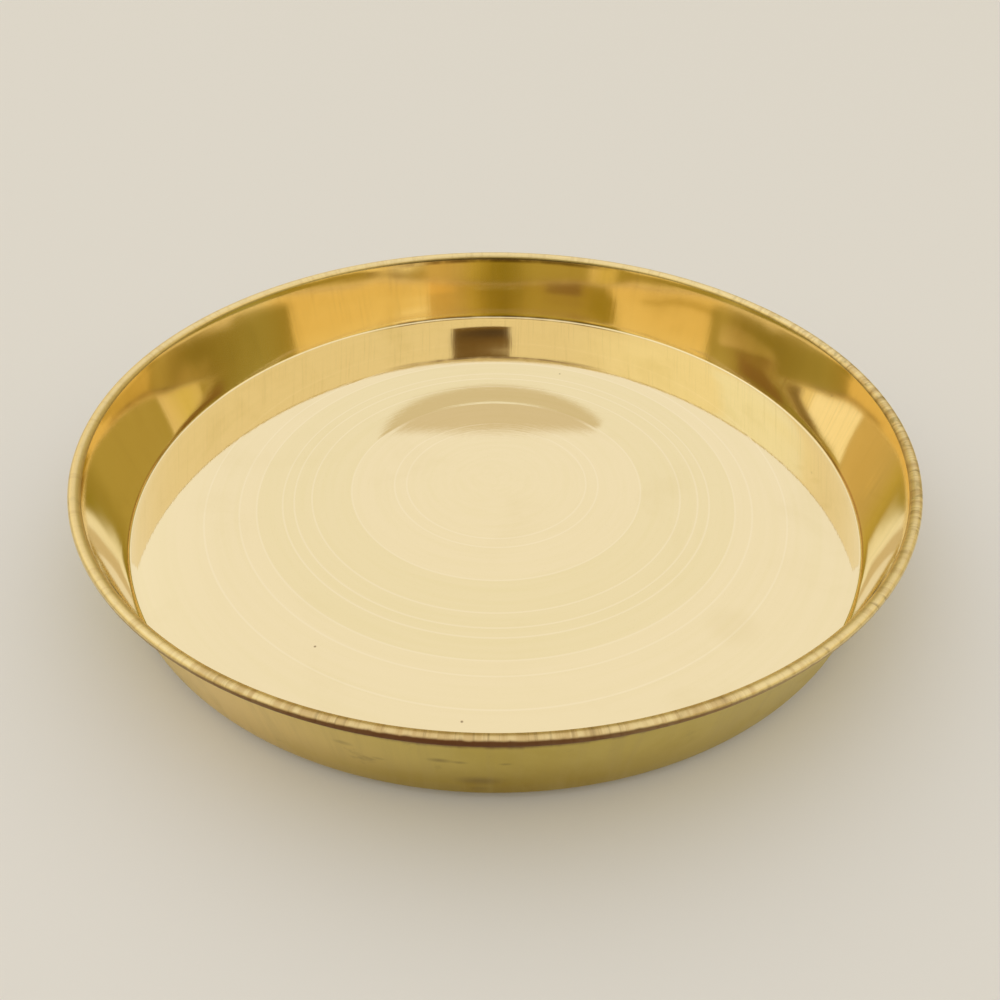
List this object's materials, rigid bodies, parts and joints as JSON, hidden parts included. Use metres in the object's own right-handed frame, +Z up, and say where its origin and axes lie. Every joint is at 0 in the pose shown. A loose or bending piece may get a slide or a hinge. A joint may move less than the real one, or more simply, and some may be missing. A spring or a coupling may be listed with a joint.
{
  "type": "thali plate",
  "caption": "Round spun-brass thali: a serving plate with a gently dished floor, a low flared wall and an outward-rolled rim wired for stiffness.",
  "frame": {"origin": "centre of the flat middle of the base, on the surface that the plate stands on", "axes": "+Z up along the axis of the plate; the plate is round, so +X and +Y are free to choose, and -Y faces the viewer of the picture"},
  "size_m": [0.305, 0.305, 0.04],
  "materials": {
    "brass": "spun and buffed inside, duller satin outside",
    "wire": "drawn, unpolished"
  },
  "bodies": {
    "root": {"dish": "brass", "rim_wire": "wire"}
  },
  "joints": []
}
